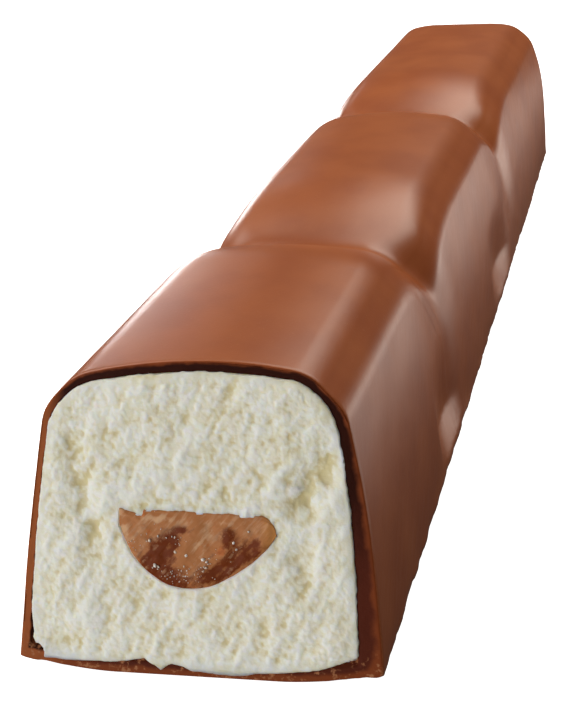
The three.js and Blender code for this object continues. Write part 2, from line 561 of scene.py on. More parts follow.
def move_vertices(piece: bpy.types.Object, places: Array) -> None:
    """Puts a piece's vertices in new places."""
    piece.data.vertices.foreach_set("co", places.ravel())
    piece.data.update()


def divide(piece: bpy.types.Object, axis: Axis, steps: Steps) -> None:
    """Divides a blank's edges that run in one direction, and the faces between them.

    Args:
        piece: the blank.
        axis: the direction of the edges.
        steps: how many parts each edge is divided into, in one or more rounds.
    """
    for parts in steps:
        ends = vertices_of(piece)[edges_of(piece)]
        runs = np.abs(ends[:, 1] - ends[:, 0])
        pick(piece, Picking.EDGES, np.argmax(runs, axis=1) == axis.value)
        bpy.ops.mesh.subdivide(number_cuts=parts - 1)
        shut(piece)


def make_blank(name: str, across: Steps, along: Steps, up: Steps) -> bpy.types.Object:
    """A box divided into a grid, from -1 to 1 across and from 0 to 1 along and up.

    Args:
        name: the new piece's name.
        across: rounds of division across.
        along: rounds of division along.
        up: rounds of division up.

    Returns:
        The blank, whose coordinates say where on a form each vertex goes.
    """
    bpy.ops.object.select_all(action="DESELECT")
    bpy.ops.mesh.primitive_cube_add(size=1, location=(0, 0.5, 0.5), scale=(2, 1, 1))
    blank = bpy.context.object
    blank.name = name
    blank.data.name = name
    bpy.ops.object.transform_apply(location=True, rotation=True, scale=True)
    divide(blank, Axis.ALONG, along)
    divide(blank, Axis.ACROSS, across)
    divide(blank, Axis.UP, up)
    return blank


def grid_of(piece: bpy.types.Object, crowding: float) -> tuple[Array, Array, Array]:
    """Reads a blank's grid, with its lines drawn closer together towards the edges.

    Args:
        piece: the blank.
        crowding: how much closer, from 0 to 1.

    Returns:
        Each vertex's share across from -1 to 1, along from 0 to 1, and up from 0 to 1.
    """
    across, along, up = vertices_of(piece).T
    return crowd_ends(across / 2 + 0.5, crowding) * 2 - 1, along, crowd_ends(up, crowding)


def remove_cap(piece: bpy.types.Object, station: float) -> None:
    """Opens a blank at one end.

    Args:
        piece: the blank.
        station: 0 for the near end, 1 for the far end.
    """
    on_cap = np.abs(face_centres(piece)[:, 1] - station) < SAME_PLACE
    pick(piece, Picking.FACES, on_cap)
    bpy.ops.mesh.delete(type="FACE")
    shut(piece)


def mark(piece: bpy.types.Object, group: str, weights: Array) -> None:
    """Writes a vertex group.

    Args:
        piece: the piece that gets it.
        group: the group's name.
        weights: a weight for each vertex, of which 0 is left out.
    """
    layer = piece.vertex_groups.get(group) or piece.vertex_groups.new(name=group)
    levels = np.round(clamp01(weights), 2)
    for level in np.unique(levels[levels > 0]):
        layer.add(np.flatnonzero(levels == level).tolist(), float(level), "REPLACE")


def marked(piece: bpy.types.Object, group: str) -> Array:
    """Reads a vertex group.

    Args:
        piece: the piece that has it.
        group: the group's name.

    Returns:
        Each vertex's weight, 0 where it isn't in the group.
    """
    index = piece.vertex_groups[group].index
    weights = np.zeros(len(piece.data.vertices))
    for vertex in piece.data.vertices:
        for entry in vertex.groups:
            if entry.group == index:
                weights[vertex.index] = entry.weight
    return weights


def write_attribute(piece: bpy.types.Object, name: str, values: Array) -> None:
    """Stores a number at each vertex for the materials to read."""
    layer = piece.data.attributes.new(name, "FLOAT", "POINT")
    layer.data.foreach_set("value", values.astype(np.float32))


class Grain(Enum):
    """The kinds of relief that a surface can get."""

    LUMPS = "BLENDER_ORIGINAL"
    PEBBLES = "VORONOI_F1"


def displace(piece: bpy.types.Object, grain: Grain, size: float, height: float, group: str) -> None:
    """Raises and lowers a surface along its normals by a procedural relief.

    Args:
        piece: the piece.
        grain: the kind of relief.
        size: the spacing of its bumps.
        height: how far it reaches from its lowest to its highest point.
        group: the vertex group that it is limited to.
    """
    take(piece)
    texture = bpy.data.textures.new(f"{piece.name}_{grain.name.lower()}", "CLOUDS")
    texture.noise_basis = grain.value
    texture.noise_scale = size
    texture.noise_depth = 1
    bpy.ops.object.modifier_add(type="DISPLACE")
    relief = piece.modifiers[-1]
    relief.texture = texture
    relief.texture_coords = "LOCAL"
    relief.strength = height
    relief.mid_level = 0.5
    relief.vertex_group = group
    bpy.ops.object.modifier_apply(modifier=relief.name)


def paint(piece: bpy.types.Object, *materials: bpy.types.Material) -> None:
    """Gives a piece its materials, in place of any empty ones that joining or cutting left.

    Args:
        piece: the piece.
        materials: its materials, in the order of their numbers on the faces.
    """
    piece.data.materials.clear()
    for material in materials:
        piece.data.materials.append(material)


def finish_piece(piece: bpy.types.Object, bar: BarForm, nodes: tuple[str, ...]) -> None:
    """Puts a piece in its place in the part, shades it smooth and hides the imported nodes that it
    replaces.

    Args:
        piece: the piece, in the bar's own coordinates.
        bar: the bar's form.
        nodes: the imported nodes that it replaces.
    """
    take(piece)
    piece.location = bar.place_in_part()
    bpy.ops.object.transform_apply(location=True, rotation=True, scale=True)
    bpy.ops.object.shade_smooth()
    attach(piece, "root")
    for node in nodes:
        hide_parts(node)
    LOG.info("%s: %d faces", piece.name, len(piece.data.polygons))


# ------------------------------------------------------------------------------------- finishes
class NodeSheet:
    """A material's nodes, with short ways to add and join them."""

    def __init__(self, name: str) -> None:
        """Starts an empty material.

        Args:
            name: the material's name.
        """
        self.material = bpy.data.materials.new(name)
        self.material.use_nodes = True
        self.nodes = self.material.node_tree.nodes
        self.links = self.material.node_tree.links
        self.shader = self.nodes["Principled BSDF"]
        self.places = self.nodes.new("ShaderNodeTexCoord").outputs["Object"]

    def feed(self, node: bpy.types.Node, socket: str | int, value: Socket | float | tuple) -> None:
        """Joins a socket to another node's output, or sets it to a constant.

        Args:
            node: the node that has the socket.
            socket: the socket's name or number.
            value: the output, number, vector or colour that it gets.
        """
        target = node.inputs[socket]
        if isinstance(value, bpy.types.NodeSocket):
            self.links.new(value, target)
        elif isinstance(value, tuple) and len(value) == 3 and target.type == "RGBA":
            target.default_value = (*value, 1.0)
        else:
            target.default_value = value

    def set_shader(self, **values: Socket | float | tuple) -> None:
        """Sets or joins the shader's inputs, named with underscores for spaces."""
        for name, value in values.items():
            self.feed(self.shader, name.replace("_", " "), value)

    def add(self, kind: str, **values: Socket | float | tuple) -> bpy.types.Node:
        """Adds a node and sets or joins its inputs.

        Args:
            kind: the node's type, without the words before its own name.
            values: its inputs, named with underscores for spaces.

        Returns:
            The new node.
        """
        node = self.nodes.new(f"ShaderNode{kind}")
        for name, value in values.items():
            self.feed(node, name.replace("_", " "), value)
        return node

    def attribute(self, name: str) -> Socket:
        """A number stored at the vertices."""
        node = self.add("Attribute")
        node.attribute_name = name
        return node.outputs["Fac"]

    def stretched(self, stretch: Triple, turn: Triple) -> Socket:
        """Object coordinates for a drawn-out pattern.

        Args:
            stretch: the length of the pattern along each of its own axes.
            turn: its turn about each of the piece's axes.

        Returns:
            The coordinates, in which the pattern is 1 long each way.
        """
        turned = self.add("Mapping", Vector=self.places, Rotation=turn)
        squeeze = tuple(1 / length for length in stretch)
        return self.add("Mapping", Vector=turned.outputs[0], Scale=squeeze).outputs[0]

    def noise(self, size: float, detail: float, rough: float = 0.5, where: Socket | None = None) -> Socket:
        """Cloudy noise.

        Args:
            size: the size of its bumps.
            detail: how many finer layers it has.
            rough: how strong these are.
            where: the coordinates that it follows, if not the piece's own.

        Returns:
            A value between 0 and 1.
        """
        places = where or self.places
        noises = {"Scale": 1 / size, "Detail": float(detail), "Roughness": rough}
        return self.add("TexNoise", Vector=places, **noises).outputs["Fac"]

    def stepped(self, value: Socket, low: float, high: float, first: float = 0, last: float = 1) -> Socket:
        """Maps a range of values smoothly to another one.

        Args:
            value: the value to map.
            low: where the range starts.
            high: where it ends.
            first: the result at low and below.
            last: the result at high and above.

        Returns:
            The mapped value.
        """
        span = {"From Min": low, "From Max": high, "To Min": first, "To Max": last}
        node = self.add("MapRange", Value=value, **span)
        node.interpolation_type = "SMOOTHSTEP"
        return node.outputs["Result"]

    def sum(self, first: Socket, second: Socket | float, operation: str = "ADD") -> Socket:
        """Two values added, or combined by another operation.

        Args:
            first: the first value.
            second: the second value.
            operation: what is done with them.

        Returns:
            The result.
        """
        node = self.add("Math")
        node.operation = operation
        self.feed(node, 0, first)
        self.feed(node, 1, second)
        return node.outputs[0]

    def times(self, first: Socket, second: Socket | float) -> Socket:
        """The product of two values."""
        return self.sum(first, second, "MULTIPLY")

    def blend(self, share: Socket, first: Socket | Colour, second: Socket | Colour) -> Socket:
        """Two colours mixed.

        Args:
            share: the second colour's share.
            first: the first colour.
            second: the second colour.

        Returns:
            The mixed colour.
        """
        node = self.add("Mix")
        node.data_type = "RGBA"
        for socket, value in zip((0, 6, 7), (share, first, second)):
            self.feed(node, socket, value)
        return node.outputs[2]

    def bump(self, height: Socket, distance: float, strength: float, under: Socket | None = None) -> Socket:
        """A normal that follows a height.

        Args:
            height: the height, from 0 to 1.
            distance: how far 1 reaches.
            strength: the share of the bump that shows.
            under: the normal that it is laid on.

        Returns:
            The new normal.
        """
        node = self.add("Bump", Height=height, Distance=distance, Strength=strength)
        if under is not None:
            self.feed(node, "Normal", under)
        return node.outputs[0]


@dataclass(frozen=True)
class ChocolateFinish:
    """The outside of the coating: satin milk chocolate, finely grained, with drawn streaks on its walls."""

    light: Colour = (0.37, 0.098, 0.024)
    deep: Colour = (0.31, 0.073, 0.016)
    speck: Colour = (0.46, 0.17, 0.065)
    roughness: float = 0.34
    grain_size: float = 0.22 * MM
    grain_height: float = 0.012 * MM
    cloud_size: float = 6 * MM
    streak_size: Triple = (5 * MM, 0.45 * MM, 2.5 * MM)
    streak_turn: Triple = (math.radians(50), 0, 0)
    streak_height: float = 0.05 * MM

    def material(self) -> bpy.types.Material:
        """Builds the material.

        Returns:
            The material.
        """
        sheet = NodeSheet("milk_chocolate_satin")
        clouds = sheet.stepped(sheet.noise(self.cloud_size, 3), 0.3, 0.7)
        colour = sheet.blend(clouds, self.deep, self.light)
        grain = sheet.noise(self.grain_size, 2, 0.6)
        colour = sheet.blend(sheet.stepped(grain, 0.6, 0.8, 0, 0.3), colour, self.speck)
        along_wall = sheet.stretched(self.streak_size, self.streak_turn)
        streaks = sheet.noise(1.0, 3, 0.55, along_wall)
        on_wall = sheet.attribute("wall")
        dull = sheet.times(sheet.stepped(streaks, 0.3, 0.7, -0.02, 0.03), on_wall)
        bumps = sheet.bump(sheet.times(streaks, on_wall), self.streak_height, 0.12)
        bumps = sheet.bump(grain, self.grain_height, 0.5, bumps)
        roughness = sheet.sum(dull, self.roughness)
        sheet.set_shader(Base_Color=colour, Roughness=roughness, IOR=1.5, Normal=bumps)
        return sheet.material


@dataclass(frozen=True)
class CutChocolateFinish:
    """The coating where it is cut: dark inside, with painted light: warmer towards its skin where the outer
    edge catches the light, and lighter orange all along the left where the rim faces the light.
    """

    dark: Colour = (0.030, 0.006, 0.003)
    low: Colour = (0.095, 0.019, 0.009)
    lit_edge_warm: Colour = (0.22, 0.050, 0.015)
    left_lit: Colour = (0.33, 0.09, 0.028)
    fleck: Colour = (0.40, 0.16, 0.07)
    roughness: float = 0.5
    patch_size: float = 1.1 * MM
    fleck_size: float = 0.5 * MM
    grain_size: float = 0.3 * MM
    grain_height: float = 0.06 * MM

    def material(self) -> bpy.types.Material:
        """Builds the material.

        Returns:
            The material.
        """
        sheet = NodeSheet("milk_chocolate_cut")
        uneven = sheet.stepped(sheet.noise(self.patch_size, 2), 0.3, 0.7, -0.1, 0.1)
        depth = sheet.sum(sheet.attribute("rim_depth"), uneven)
        lower = sheet.sum(sheet.attribute("lower_part"), uneven)
        colour = sheet.blend(lower, self.dark, self.low)
        ragged = sheet.attribute("ragged")
        # towards the foot the painted light on the outer edge reaches further in
        skin_side = sheet.times(ragged, -0.35)
        inside = sheet.stepped(sheet.sum(depth, skin_side), 0.05, 0.45)
        # painted light: the band next to the skin is warmer, as if its outer edge were lit
        colour = sheet.blend(inside, self.lit_edge_warm, colour)
        # painted light: the rim's left side is lighter orange, as if lit from the left, and dark next to
        # the ice cream
        on_left = sheet.blend(sheet.stepped(depth, 0.72, 1.0), self.left_lit, self.dark)
        colour = sheet.blend(sheet.attribute("lit_left_side"), colour, on_left)
        flecks = sheet.stepped(sheet.noise(self.fleck_size, 3, 0.6), 0.54, 0.68)
        colour = sheet.blend(sheet.times(flecks, ragged), colour, self.fleck)
        bumps = sheet.bump(sheet.noise(self.grain_size, 3, 0.6), self.grain_height, 0.6)
        sheet.set_shader(Base_Color=colour, Roughness=self.roughness, IOR=1.5, Normal=bumps)
        sheet.set_shader(Specular_IOR_Level=0.03)
        return sheet.material


@dataclass(frozen=True)
class IceCreamFinish:
    """Vanilla ice cream: creamy white, frosty and matt, with painted shade: lighter on its crests and
    darker and yellower in its hollows.
    """

    crest: Colour = (0.94, 0.92, 0.83)
    body: Colour = (0.90, 0.86, 0.70)
    hollow_shade: Colour = (0.76, 0.66, 0.38)
    patch_size: float = 2.2 * MM
    grain_size: float = 0.22 * MM
    grain_height: float = 0.08 * MM

    def material(self) -> bpy.types.Material:
        """Builds the material.

        Returns:
            The material.
        """
        sheet = NodeSheet("vanilla_ice_cream")
        patches = sheet.stepped(sheet.noise(self.patch_size, 2), 0.3, 0.7, -0.15, 0.15)
        # painted shade: the relief's hollow share makes crests lighter and hollows darker and yellower
        depth = sheet.sum(sheet.attribute("hollow_shade"), patches)
        colour = sheet.blend(sheet.stepped(depth, 0.3, 0.55), self.crest, self.body)
        colour = sheet.blend(sheet.stepped(depth, 0.55, 1.0), colour, self.hollow_shade)
        bumps = sheet.bump(sheet.noise(self.grain_size, 3, 0.6), self.grain_height, 0.5)
        sheet.set_shader(Base_Color=colour, Roughness=0.75, IOR=1.31, Normal=bumps)
        sheet.set_shader(Subsurface_Weight=0.6, Subsurface_Scale=0.8 * MM)
        sheet.set_shader(Subsurface_Radius=(1.0, 0.85, 0.55))
        return sheet.material


@dataclass(frozen=True)
class CaramelFinish:
    """The caramel core: tan, with pale fibres, burnt red-brown bands and a golden right end."""

    tan: Colour = (0.47, 0.185, 0.068)
    pale: Colour = (0.68, 0.40, 0.22)
    burnt: Colour = (0.17, 0.034, 0.008)
    orange: Colour = (0.50, 0.13, 0.030)
    golden: Colour = (0.62, 0.27, 0.075)
    roughness: float = 0.4
    fibre_size: Triple = (2.4 * MM, 2 * MM, 0.4 * MM)
    fibre_turn: Triple = (0, math.radians(48), 0)
    fibre_height: float = 0.12 * MM
    mottle_size: float = 0.55 * MM
    blot_size: float = 1.2 * MM

    def material(self) -> bpy.types.Material:
        """Builds the material.

        Returns:
            The material.
        """
        sheet = NodeSheet("caramel")
        fibres = sheet.noise(1.0, 4, 0.6, sheet.stretched(self.fibre_size, self.fibre_turn))
        mottle = sheet.stepped(sheet.noise(self.mottle_size, 3, 0.6), 0.3, 0.7, -0.25, 0.25)
        clouds = sheet.sum(sheet.stepped(fibres, 0.3, 0.7, -0.3, 0.3), mottle)
        colour = sheet.blend(sheet.stepped(fibres, 0.45, 0.72, 0, 0.75), self.tan, self.pale)
        blots = sheet.stepped(sheet.noise(self.blot_size, 2), 0.58, 0.72, 0, 0.7)
        colour = sheet.blend(blots, colour, self.orange)
        burnt = sheet.stepped(sheet.sum(sheet.attribute("burnt"), clouds), 0.1, 0.85)
        colour = sheet.blend(burnt, colour, self.burnt)
        pale = sheet.stepped(sheet.sum(sheet.attribute("pale"), clouds), 0.2, 0.9, 0, 0.85)
        colour = sheet.blend(pale, colour, self.pale)
        colour = sheet.blend(sheet.times(sheet.attribute("end"), 0.8), colour, self.golden)
        bumps = sheet.bump(fibres, self.fibre_height, 0.6)
        sheet.set_shader(Base_Color=colour, Roughness=self.roughness, IOR=1.48, Normal=bumps)
        sheet.set_shader(Specular_IOR_Level=0.05, Subsurface_Weight=0.1, Subsurface_Scale=0.5 * MM)
        sheet.set_shader(Subsurface_Radius=(1.0, 0.5, 0.25))
        return sheet.material


@dataclass(frozen=True)
class SugarFinish:
    """Sugar crystals: pale, a little clear and sharp in their shine."""

    clear: Colour = (0.90, 0.74, 0.58)
    milky: Colour = (0.96, 0.91, 0.84)
    roughness: float = 0.12
    cloud_size: float = 0.3 * MM

    def material(self) -> bpy.types.Material:
        """Builds the material.

        Returns:
            The material.
        """
        sheet = NodeSheet("sugar")
        clouds = sheet.stepped(sheet.noise(self.cloud_size, 2), 0.4, 0.6)
        colour = sheet.blend(clouds, self.clear, self.milky)
        sheet.set_shader(Base_Color=colour, Roughness=self.roughness, IOR=1.55)
        sheet.set_shader(Transmission_Weight=0.15)
        return sheet.material


# --------------------------------------------------------------------------------- the coating
@dataclass
class ChocolateCoating:
    """The milk chocolate shell: an outer skin, a lining and the cut rim that joins them."""

    bar: BarForm
    coat: Coat = CHOCOLATE_COAT
    across: Steps = (72,)
    up: Steps = (48,)
    skin_along: Steps = (11, 20)
    lining_along: Steps = (60,)
    edge_crowding: float = 0.5
    rim_cuts: int = 5
    rim_bevel: float = 0.14 * MM
    swells: tuple[Unevenness, ...] = (
        Unevenness(9 * MM, 0.07 * MM, 3),
        Unevenness(2.6 * MM, 0.02 * MM, 4),
    )
    swell_on_top: float = 0.5
    ripple_spacing: float = 1.7 * MM
    ripple_height: float = 0.07 * MM
    ripple_shift: float = 1.4 * MM
    ripple_bend: float = 0.062 / MM
    ripple_bend_from: float = 9 * MM
    ripple_reach: float = 1.1
    foot_nubs: tuple[Unevenness, ...] = (
        Unevenness(2.1 * MM, 0.16 * MM, 5),
        Unevenness(0.8 * MM, 0.09 * MM, 6),
    )
    nub_limit: float = 0.08 * MM

    def build(self) -> bpy.types.Object:
        """Makes the shell, its relief and its materials.

        Returns:
            The finished piece.
        """
        skin = self._open_shell("chocolate_skin", BARE, self.skin_along)
        mark(skin, "skin", np.ones(len(skin.data.vertices)))
        lining = self._open_shell("chocolate_lining", self.coat, self.lining_along)
        pick(lining, Picking.FACES, np.ones(len(lining.data.polygons), bool))
        bpy.ops.mesh.flip_normals()
        shut(lining)
        shell = join(skin, [lining], "coating_shell")
        self._close_rim(shell)
        self._dress(shell)
        self._wave(shell)
        finish_piece(shell, self.bar, ("chocolate_coating",))
        return shell

    def _open_shell(self, name: str, coat: Coat, along: Steps) -> bpy.types.Object:
        """One wall of the shell, open at the cut.

        Args:
            name: the wall's name.
            coat: how far it lies inside the outline.
            along: rounds of division along the bar.

        Returns:
            The wall, with its faces pointing away from the bar's middle.
        """
        wall = make_blank(name, self.across, along, self.up)
        remove_cap(wall, 0)
        across, station, up = grid_of(wall, self.edge_crowding)
        move_vertices(wall, self.bar.place(across, up, station * self.bar.length, coat))
        return wall

    def _close_rim(self, shell: bpy.types.Object) -> None:
        """Joins skin and lining across the cut, and takes the sharpness off the outer edge.

        Args:
            shell: the skin and the lining in one piece.
        """
        pick(shell, Picking.EDGES, open_edges(shell))
        bpy.ops.mesh.bridge_edge_loops(number_cuts=self.rim_cuts, interpolation="LINEAR")
        shut(shell)
        on_cut = np.abs(self.bar.behind_cut(face_centres(shell))) < SAME_PLACE
        on_cut = on_cut | (self._share_of_skin(shell) < 0.01)
        paint(shell, ChocolateFinish().material(), CutChocolateFinish().material())
        shell.data.polygons.foreach_set("material_index", on_cut.astype(np.int32))
        near = np.abs(self.bar.behind_cut(vertices_of(shell))) < SAME_PLACE
        edge = near & (marked(shell, "skin") > 0.99)
        pick(shell, Picking.EDGES, edge[edges_of(shell)].all(axis=1))
        bpy.ops.mesh.bevel(offset=self.rim_bevel, segments=2, affect="EDGES")
        shut(shell)

    def _share_of_skin(self, shell: bpy.types.Object) -> Array:
        """How much of each face belongs to the skin.

        Args:
            shell: the shell.

        Returns:
            0 for a face of the lining, up to 1 for one of the skin.
        """
        skin = marked(shell, "skin")
        corners = read_all(shell.data.loops, "vertex_index", 1, np.int64).ravel()
        starts = read_all(shell.data.polygons, "loop_start", 1, np.int64).ravel()
        return np.maximum.reduceat(skin[corners], starts)

    def _dress(self, shell: bpy.types.Object) -> None:
        """Stores what the materials need to know of each place.

        Args:
            shell: the shell, before its relief.
        """
        x, _, z = vertices_of(shell).T
        shares = {
            "rim_depth": 1 - marked(shell, "skin"),
            "ragged": fade((z - 1.2 * MM) / (1.5 * MM)),
            "lower_part": ramp(z, 13.5 * MM, 6.5 * MM),
            "wall": ramp(np.abs(x), 9.2 * MM, 10.2 * MM) * ramp(z, 19.5 * MM, 17.5 * MM),
            # the mask for the light painted on the rim's left side
            "lit_left_side": ramp(x, -9.5 * MM, -11 * MM),
        }
        for name, share in shares.items():
            write_attribute(shell, name, share)

    def _wave(self, shell: bpy.types.Object) -> None:
        """Gives the skin the shallow waves, ripples and ragged foot of dipped chocolate.

        Args:
            shell: the shell.
        """
        points = vertices_of(shell)
        height = self._swell(points) + self._ripples(points) + self._ragged_foot(points)
        height = height * marked(shell, "skin")
        move_vertices(shell, points + normals_of(shell) * height[:, None])

    def _swell(self, points: Array) -> Array:
        """Broad, shallow unevenness, stronger on the walls than on top.

        Args:
            points: places on the shell.

        Returns:
            How far each place is raised.
        """
        z = points[:, 2]
        on_wall = ramp(z, 17.5 * MM, 13.5 * MM)
        height = sum(swell.at(points) for swell in self.swells)
        return height * lerp(self.swell_on_top, 1.0, on_wall) * ramp(z, 0, 2 * MM)

    def _ripples(self, points: Array) -> Array:
        """Low ridges that run down the walls beside each hollow.

        Args:
            points: places on the shell.

        Returns:
            How far each place is raised.
        """
        x, y, z = points.T
        on_wall = ramp(np.abs(x), 9 * MM, 10 * MM) * ramp(z, 19 * MM, 16 * MM) * ramp(z, 0, 6 * MM)
        bend = self.ripple_bend * np.maximum(z - self.ripple_bend_from, 0) ** 2
        height = np.zeros(len(points))
        for valley in self.bar.valleys:
            turns = (y - valley - self.ripple_shift + bend) / self.ripple_spacing
            height += np.cos(2 * np.pi * turns) * bell(turns / self.ripple_reach + 1)
        return self.ripple_height * height * on_wall

    def _ragged_foot(self, points: Array) -> Array:
        """The uneven lower edge where the coating set on its tray.

        Args:
            points: places on the shell.

        Returns:
            How far each place is raised.
        """
        x, _, z = points.T
        outer = ramp(np.abs(x), 9 * MM, 11 * MM)
        low = fade((z - 0.5 * MM) / (1.3 * MM))
        nubs = sum(nub.at(points) for nub in self.foot_nubs)
        return np.minimum(nubs, self.nub_limit) * outer * low


# ------------------------------------------------------------------------------- the ice cream
@dataclass(frozen=True)
class Dent:
    """A soft oval hollow or stain on the cut face, measured in millimetres and degrees."""

    x: float
    z: float
    half_width: float
    half_height: float
    depth: float
    turn: float = 0.0

    def depth_at(self, points: Array) -> Array:
        """How deep the hollow is, or how strong the stain.

        Args:
            points: places on the cut face.

        Returns:
            The depth at each of them.
        """
        x = points[:, 0] - self.x * MM
        z = points[:, 2] - self.z * MM
        turn = math.radians(self.turn)
        along = x * math.cos(turn) + z * math.sin(turn)
        upward = z * math.cos(turn) - x * math.sin(turn)
        return self.depth * MM * bell(np.hypot(along / self.half_width, upward / self.half_height) / MM)


@dataclass
class IceCream:
    """The loaf of ice cream, with its crumbly cut face and the channel for the caramel.

    Its near end is a finely divided block, whose rings run round it: the first round the face,
    and the others one behind another. There the ice cream laps over the chocolate rim, or has
    shrunk away from it. The lower edge gives places across the underside and how far it laps
    over there, in millimetres. Looseness is the share of the relief that a place gets.
    """

    bar: BarForm
    strand: StrandForm
    coat: Coat = CHOCOLATE_COAT
    face_across: Steps = (10, 24)
    face_up: Steps = (10, 20)
    face_crowding: float = 0.25
    body_across: Steps = (36,)
    body_up: Steps = (24,)
    body_along: Steps = (60,)
    body_crowding: float = 0.5
    body_start: float = 5 * MM
    proud: float = 0.2 * MM
    dome: float = 0.14 * MM
    dome_edge: float = 0.5 * MM
    firm_edge: float = 0.9 * MM
    edge_looseness: float = 0.3
    side_looseness: float = 0.2
    clearance: float = 0.02 * MM
    ring_depths: tuple[float, ...] = (-0.10 * MM, -0.02 * MM, 0.05 * MM, 0.5 * MM, 3 * MM)
    ring_spread: tuple[float, ...] = (0.35, 1.0, 0.9, 0.0, 0.0, 0.0)
    ring_shrink: tuple[float, ...] = (1.0, 1.0, 1.0, 0.8, 0.3, 0.0)
    lap: float = 0.12 * MM
    lap_on_thin_rim: float = 0.02 * MM
    shrinkage: float = 0.3 * MM
    edge_rags: tuple[Unevenness, ...] = (
        Unevenness(1.6 * MM, 0.09 * MM, 1),
        Unevenness(0.45 * MM, 0.07 * MM, 2),
    )
    lower_edge: tuple[tuple[float, float], ...] = (
        (-12.0, -0.5),
        (-11.3, -0.2),
        (-10.7, 0.5),
        (-8.9, 0.36),
        (-6.2, 0.07),
        (-3.8, -0.38),
        (-3.1, 0.07),
        (-2.4, 0.5),
        (-1.8, -0.05),
        (-1.2, -0.02),
        (-0.3, 0.40),
        (1.6, 0.50),
        (3.0, 0.60),
        (4.1, 0.36),
        (7.1, 0.09),
        (9.0, -0.10),
        (11.0, -0.48),
    )
    broad_relief: Unevenness = Unevenness(4.5 * MM, 0.2 * MM, 7)
    strokes: tuple[Unevenness, ...] = (
        Unevenness(0.9 * MM, 0.17 * MM, 8),
        Unevenness(0.42 * MM, 0.07 * MM, 9),
    )
    stroke_turn: float = math.radians(28)
    stroke_squeeze: float = 0.45
    dents: tuple[Dent, ...] = (
        Dent(8.5, 14.3, 1.6, 1.3, 0.8, 35),
        Dent(7.3, 12.4, 0.9, 1.2, 0.8),
        Dent(7.2, 8.2, 1.0, 1.9, 0.4),
        Dent(-8.4, 12.6, 0.7, 1.7, 0.45, -12),
        Dent(-7.5, 10.1, 0.6, 1.2, 0.35, 20),
        Dent(-8.8, 16.0, 0.8, 1.2, 0.3),
        Dent(-10.0, 2.6, 1.4, 1.6, 0.25),
        Dent(-5.1, 12.9, 2.6, 0.8, -0.2, 35),
    )
    dent_wobble: tuple[Unevenness, ...] = (
        Unevenness(1.1 * MM, 0.5 * MM, 11),
        Unevenness(1.1 * MM, 0.5 * MM, 12),
        Unevenness(1.1 * MM, 0.5 * MM, 13),
    )
    pebbles: tuple[tuple[float, float], ...] = ((0.55 * MM, -0.16 * MM), (0.3 * MM, -0.09 * MM))
    blur_rounds: int = 16
    local_contrast: float = 0.16
    wide_contrast: float = 0.04
    channel_across: Steps = (60,)
    channel_along: Steps = (2,)
    channel_up: Steps = (6,)
    channel_overrun: float = 4 * MM

    def build(self) -> bpy.types.Object:
        """Makes the loaf and its material.

        Returns:
            The finished piece.
        """
        loaf = join(self._face_block(), [self._body()], "ice_cream_loaf")
        pick(loaf, Picking.EDGES, open_edges(loaf))
        bpy.ops.mesh.bridge_edge_loops()
        bpy.ops.mesh.select_all(action="SELECT")
        bpy.ops.mesh.normals_make_consistent(inside=False)
        shut(loaf)
        self._crumble(loaf)
        self._cut_channel(loaf)
        paint(loaf, IceCreamFinish().material())
        finish_piece(loaf, self.bar, ("ice_cream",))
        return loaf

    def _face_block(self) -> bpy.types.Object:
        """The finely divided near end, whose edge laps over the chocolate rim.

        Returns:
            The block, open at its back.
        """
        rings = len(self.ring_depths)
        block = make_blank("ice_cream_loaf", self.face_across, (rings,), self.face_up)
        remove_cap(block, 1)
        across, station, up = grid_of(block, self.face_crowding)
        ring = np.round(station * rings).astype(int)
        from_side = (1 - np.abs(across)) * self.bar.top_width / 2
        from_edge = np.minimum(from_side, np.minimum(up, 1 - up) * self.bar.height)
        inner = self.coat.grown(self.clearance)
        overlap = self._overlap(self.bar.place(across, up, np.zeros(len(ring)), inner))
        lapping = np.array(self.ring_spread)[ring]
        shrinking = np.array(self.ring_shrink)[ring]
        spread = overlap * np.where(overlap > 0, lapping, shrinking)
        domed = self.dome * (1 - np.exp(-from_edge / self.dome_edge))
        depth = np.array([-self.proud, *self.ring_depths])[ring] - np.where(ring == 0, domed, 0)
        move_vertices(block, self.bar.place(across, up, depth, inner.grown(-spread)))
        loose = lerp(self.edge_looseness, 1.0, ramp(from_edge, 0, self.firm_edge))
        behind = np.where(ring == 1, self.side_looseness, 0.0)
        mark(block, "face", np.where(ring == 0, loose, behind))
        return block

    def _overlap(self, places: Array) -> Array:
        """How far the ice cream's edge laps over the rim at each place of the section.

        Args:
            places: points of the loaf on the cut.

        Returns:
            The overlap, below 0 where the ice cream has shrunk away from the chocolate.
        """
        x, _, z = places.T
        ragged = sum(rag.at(places) for rag in self.edge_rags)
        on_left = ramp(x, -8 * MM, -9.5 * MM)
        on_top = ramp(z, 19 * MM, 20 * MM)
        left_foot = bell((z - 2.2 * MM) / (2 * MM)) * clamp01(-x / (11 * MM)) ** 8
        lap = lerp(self.lap, self.lap_on_thin_rim, clamp01(on_left + on_top))
        beside = lap + ragged - self.shrinkage * left_foot
        edge_x, edge_overlap = np.array(self.lower_edge).T * MM
        below = np.interp(x, edge_x, edge_overlap) + 0.5 * ragged
        return lerp(beside, below, fade((z - 1.4 * MM) / (0.9 * MM)))

    def _body(self) -> bpy.types.Object:
        """The rest of the loaf, which the chocolate hides.

        Returns:
            The body, open at its front.
        """
        body = make_blank("ice_cream_body", self.body_across, self.body_along, self.body_up)
        remove_cap(body, 0)
        across, share, up = grid_of(body, self.body_crowding)
        station = lerp(self.body_start, self.bar.length, share)
        inner = self.coat.grown(2 * self.clearance)
        move_vertices(body, self.bar.place(across, up, station, inner))
        return body

